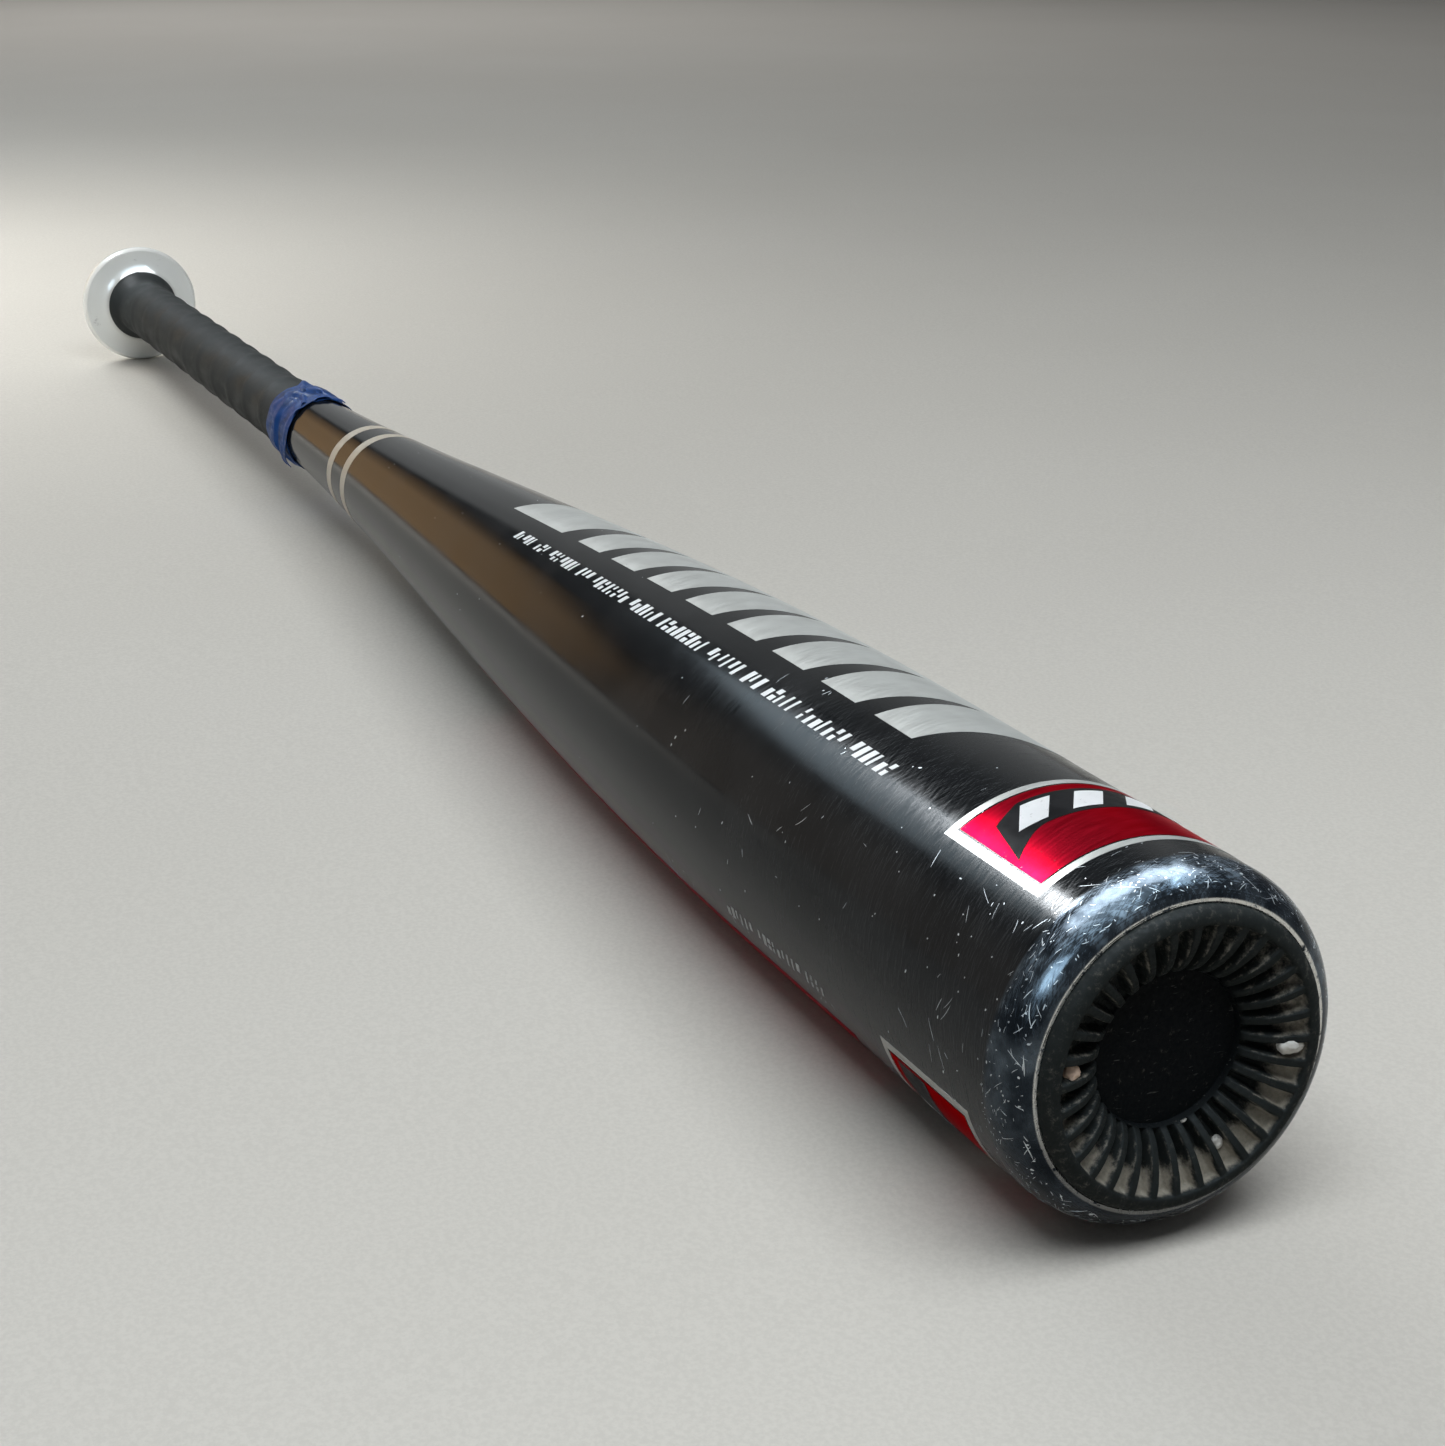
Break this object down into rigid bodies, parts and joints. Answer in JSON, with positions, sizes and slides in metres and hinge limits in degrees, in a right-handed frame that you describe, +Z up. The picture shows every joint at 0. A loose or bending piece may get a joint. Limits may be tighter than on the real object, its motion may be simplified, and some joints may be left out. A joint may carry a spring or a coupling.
{
  "type": "baseball bat",
  "caption": "Hollow alloy baseball bat with a long taper, rolled barrel lip, ribbed cupped end cap, rounded knob, spiral grip wrap, tape band and foil graphics.",
  "frame": {"origin": "centre of the bat's footprint on the ground plane it lies on", "axes": "+Z up, +X from the knob towards the barrel end; the bat's own axis rises 0.69 degrees towards +X because the barrel is thicker than the knob"},
  "size_m": [0.8384, 0.0664, 0.0689],
  "materials": {
    "shell_enamel": "gloss black, finely scratched",
    "cap_rubber": "matte moulded rubber, dusty",
    "knob_enamel": "gloss white",
    "grip": "matte black synthetic wrap",
    "tape": "satin blue vinyl tape",
    "stripe_print": "cream print under clear coat",
    "red_foil": "metallic red foil",
    "silver_foil": "satin silver foil",
    "white_print": "white print under clear coat",
    "grey_print": "grey print under clear coat"
  },
  "bodies": {
    "root": {"barrel_shell": "shell_enamel", "end_cap": "cap_rubber", "knob": "knob_enamel", "grip_wrap": "grip", "finish_tape": "tape", "ring_stripe_barrel_side": "stripe_print", "ring_stripe_handle_side": "stripe_print", "foil_panel_top": "red_foil", "foil_panel_underside": "red_foil", "bar_graphic_top": "silver_foil", "bar_graphic_underside": "red_foil", "print_line_white": "white_print", "print_line_grey": "grey_print"}
  },
  "joints": []
}
